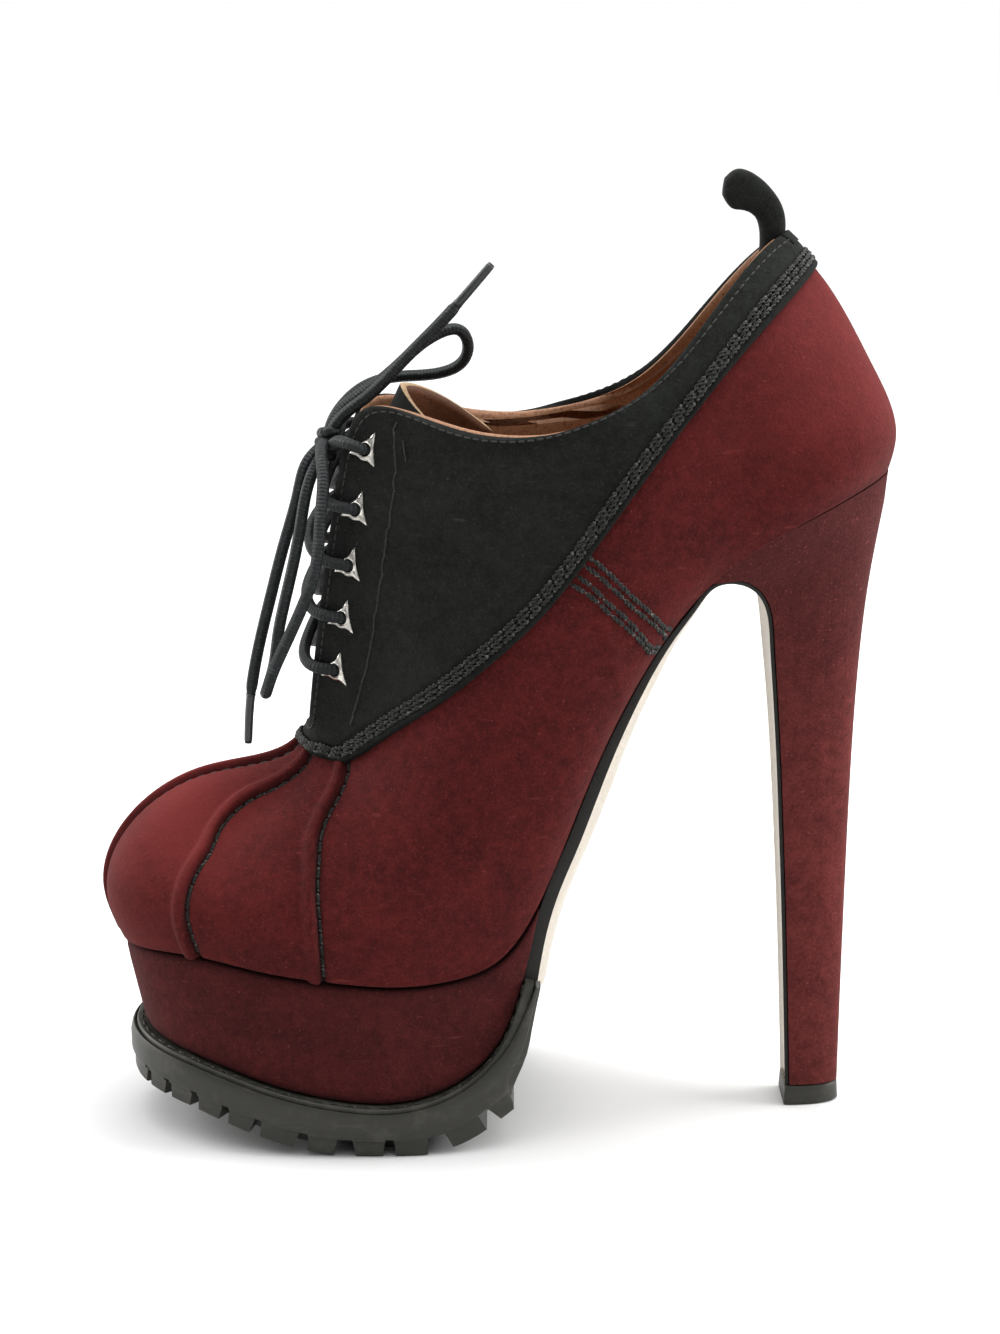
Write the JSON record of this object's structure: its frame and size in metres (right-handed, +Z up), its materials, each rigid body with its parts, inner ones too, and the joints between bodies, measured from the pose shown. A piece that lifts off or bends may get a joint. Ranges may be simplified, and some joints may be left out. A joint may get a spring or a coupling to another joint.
{
  "type": "lace-up ankle boot",
  "caption": "Two-tone suede lace-up platform ankle boot with a lugged rubber forefoot sole, a slim high heel, triangular eyelets, a bow and a pull loop.",
  "frame": {"origin": "on the floor under the middle of the boot's box, measured without the free lace", "axes": "+Z up, toe towards -X, heel towards +X, inner side of the foot towards -Y"},
  "size_m": [0.2028, 0.0888, 0.2442],
  "materials": {
    "burgundy_suede": "napped suede",
    "black_suede": "napped suede",
    "black_rubber": "moulded, matt",
    "sole_leather": "smooth, dyed edge",
    "lining_leather": "smooth",
    "waxed_cord": "braided round cord",
    "eyelet_steel": "satin plate"
  },
  "bodies": {
    "root": {"eyelet_inner_1": "eyelet_steel", "eyelet_inner_2": "eyelet_steel", "eyelet_inner_3": "eyelet_steel", "eyelet_inner_4": "eyelet_steel", "eyelet_inner_5": "eyelet_steel", "eyelet_outer_1": "eyelet_steel", "eyelet_outer_2": "eyelet_steel", "eyelet_outer_3": "eyelet_steel", "eyelet_outer_4": "eyelet_steel", "eyelet_outer_5": "eyelet_steel", "heel": "burgundy_suede", "insole": "lining_leather", "lace_cross_1": "waxed_cord", "lace_cross_2": "waxed_cord", "lace_cross_3": "waxed_cord", "lace_cross_4": "waxed_cord", "lace_end_far": "waxed_cord", "lace_end_near": "waxed_cord", "lace_knot": "waxed_cord", "lace_loop_far": "waxed_cord", "lace_loop_near": "waxed_cord", "outsole": "black_rubber", "platform": "burgundy_suede", "pull_loop": "black_suede", "quarter": "black_suede", "tongue": "lining_leather", "top_lift": "black_rubber", "upper": "burgundy_suede", "waist_sole": "sole_leather", "welt": "black_rubber"}
  },
  "joints": []
}
